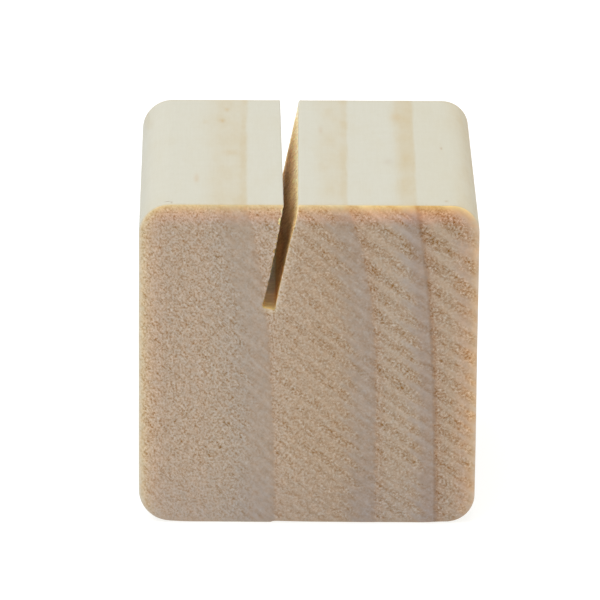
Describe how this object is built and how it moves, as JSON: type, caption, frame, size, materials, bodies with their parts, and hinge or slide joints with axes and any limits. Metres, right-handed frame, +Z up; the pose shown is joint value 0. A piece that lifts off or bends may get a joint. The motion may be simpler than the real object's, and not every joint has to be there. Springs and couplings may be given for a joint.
{
  "type": "photo block holder",
  "caption": "Cube of planed pine with rounded long corners and a slanting saw slot across its top, which holds a photo or card on a table.",
  "frame": {"origin": "centre of the flat resting face", "axes": "+Z up; +Y along the grain, from the front end-grain face to the back one; +X to the right seen from the front, so the slot leans down towards -X"},
  "size_m": [0.06, 0.06, 0.06],
  "materials": {
    "pine": "bare planed pine, sawn end grain"
  },
  "bodies": {
    "root": {"slotted_block": "pine"}
  },
  "joints": []
}
